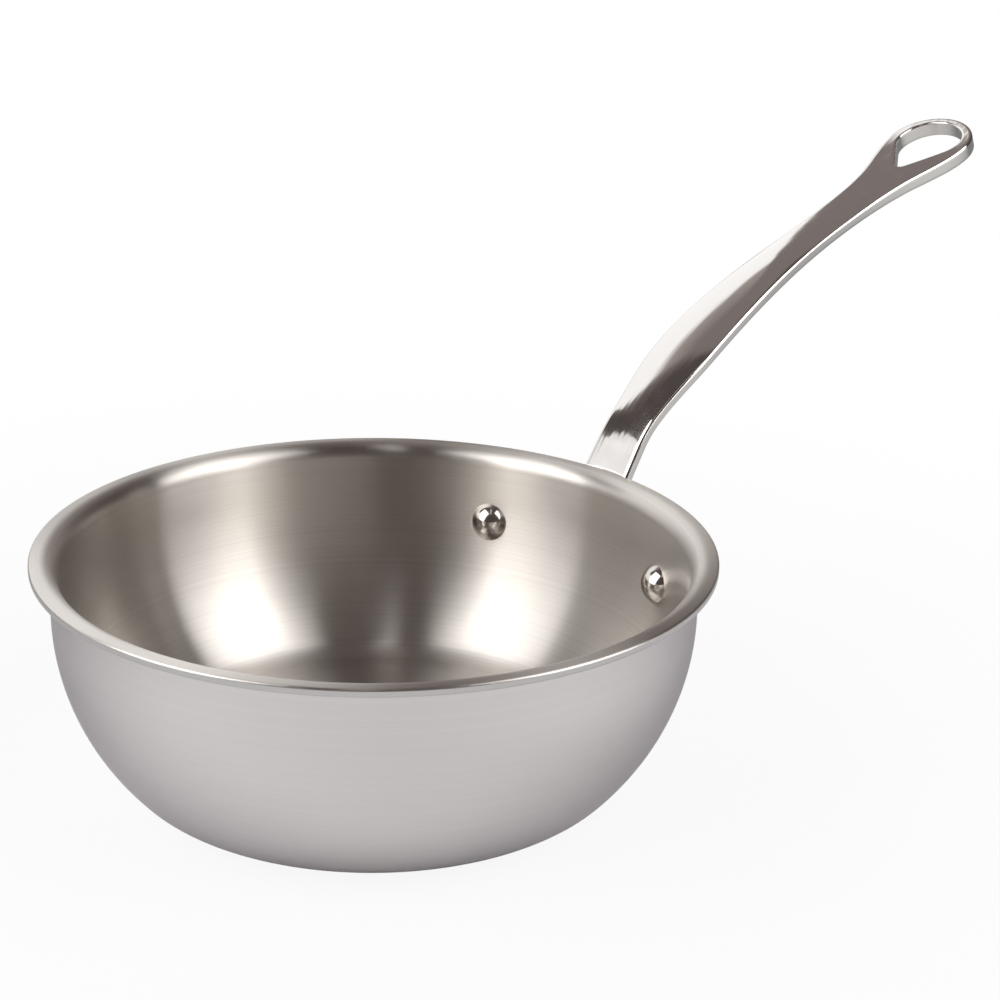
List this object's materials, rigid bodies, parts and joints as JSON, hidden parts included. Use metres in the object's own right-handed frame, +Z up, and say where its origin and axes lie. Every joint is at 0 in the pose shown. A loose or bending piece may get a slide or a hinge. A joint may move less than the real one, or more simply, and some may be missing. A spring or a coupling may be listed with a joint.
{
  "type": "saucier pan",
  "caption": "Round-walled clad steel saucier pan with a turned-out pouring lip and a long riveted cast handle ending in a hanging loop.",
  "frame": {"origin": "centre of the flat underside, on the surface the pan stands on", "axes": "+Z up out of the bowl, +X along the handle away from the bowl"},
  "size_m": [0.4204, 0.216, 0.1779],
  "materials": {
    "cooking_steel": "satin 18/10 stainless steel, brushed round the pan",
    "core_alloy": "bare rolled aluminium alloy, seen only inside the clad wall",
    "core_aluminium": "bare rolled pure aluminium, seen only inside the clad wall",
    "outer_steel": "fine satin magnetic stainless steel, brushed round the pan",
    "polished_casting": "mirror polished cast 18/10 stainless steel",
    "polished_rivet": "mirror polished 18/10 stainless steel"
  },
  "bodies": {
    "root": {"inner_ply": "cooking_steel", "core_inner": "core_alloy", "core_middle": "core_aluminium", "core_outer": "core_alloy", "outer_ply": "outer_steel", "handle": "polished_casting", "rivet_left": "polished_rivet", "rivet_right": "polished_rivet"}
  },
  "joints": []
}
